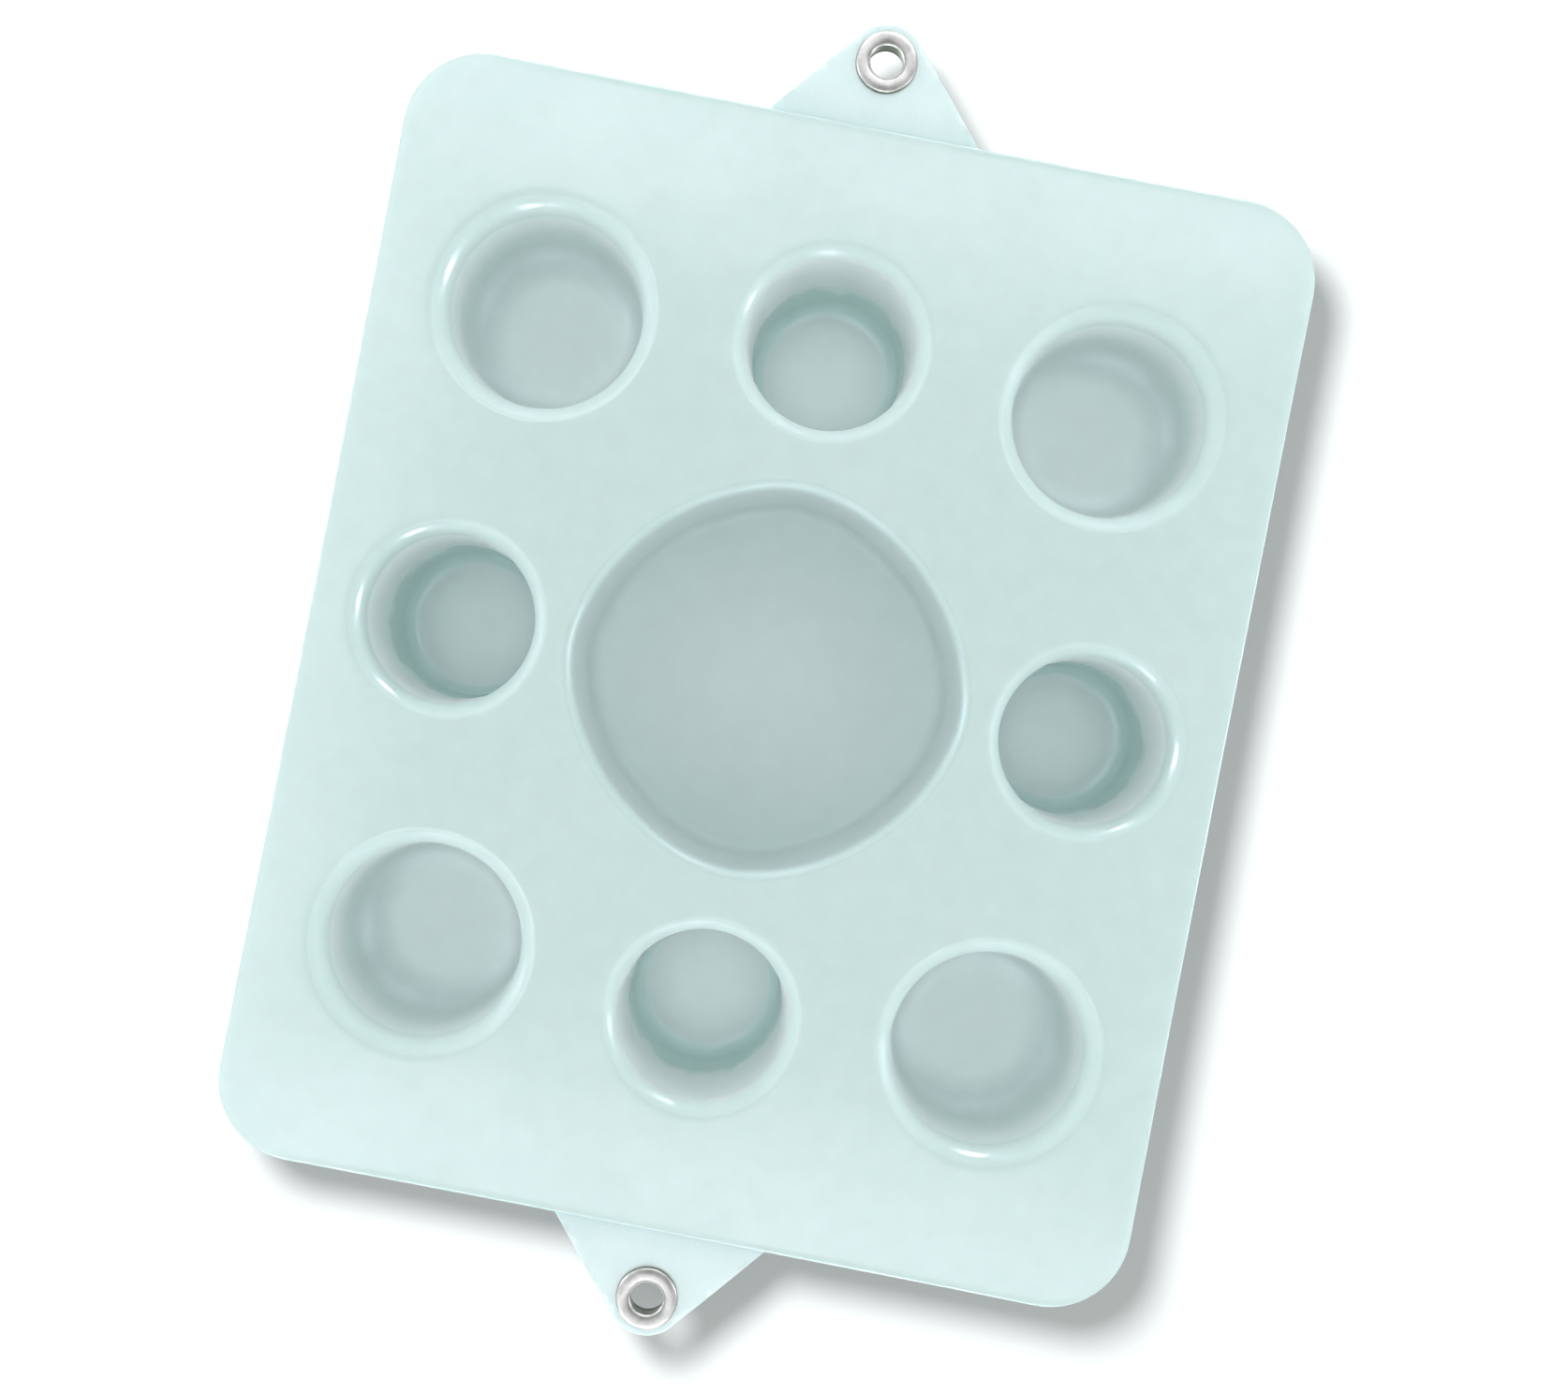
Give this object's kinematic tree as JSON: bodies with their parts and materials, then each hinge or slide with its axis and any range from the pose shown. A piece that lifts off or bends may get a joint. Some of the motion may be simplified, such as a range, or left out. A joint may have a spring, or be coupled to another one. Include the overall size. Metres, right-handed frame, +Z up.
{
  "type": "mixing palette",
  "caption": "Rectangular moulded palette with a wide centre well, corner wells and deep cups it stands on, with a folding eyelet tab bonded under each short edge.",
  "frame": {"origin": "middle of the footprint, on the surface the four deep cups stand on", "axes": "+X across the plate, +Y along the plate towards the top tab, +Z up out of the wells"},
  "size_m": [0.14, 0.2042, 0.019],
  "materials": {
    "moulded_plastic": "semi-gloss pale mint moulded sheet",
    "tab_vinyl": "satin flexible vinyl sheet, pale mint",
    "adhesive": "translucent white double-sided adhesive film",
    "nickel": "nickel-plated, slightly dulled"
  },
  "bodies": {
    "palette": {"tray": "moulded_plastic", "top_tab_root": "tab_vinyl", "top_bond_pad": "adhesive", "bottom_tab_root": "tab_vinyl", "bottom_bond_pad": "adhesive"},
    "top_tab": {"top_tab_flap": "tab_vinyl", "top_eyelet": "nickel", "top_eyelet_washer": "nickel"},
    "bottom_tab": {"bottom_tab_flap": "tab_vinyl", "bottom_eyelet": "nickel", "bottom_eyelet_washer": "nickel"}
  },
  "joints": [
    {"name": "top_tab_fold", "type": "hinge", "parent": "palette", "child": "top_tab", "pos_m": [0, 0.0855, 0.0167], "axis": [1, 0, 0], "range_deg": [-90, 90], "stiffness_Nm_per_rad": 0.012},
    {"name": "bottom_tab_fold", "type": "hinge", "parent": "palette", "child": "bottom_tab", "pos_m": [0, -0.0855, 0.0167], "axis": [-1, 0, 0], "range_deg": [-90, 90], "stiffness_Nm_per_rad": 0.012}
  ]
}
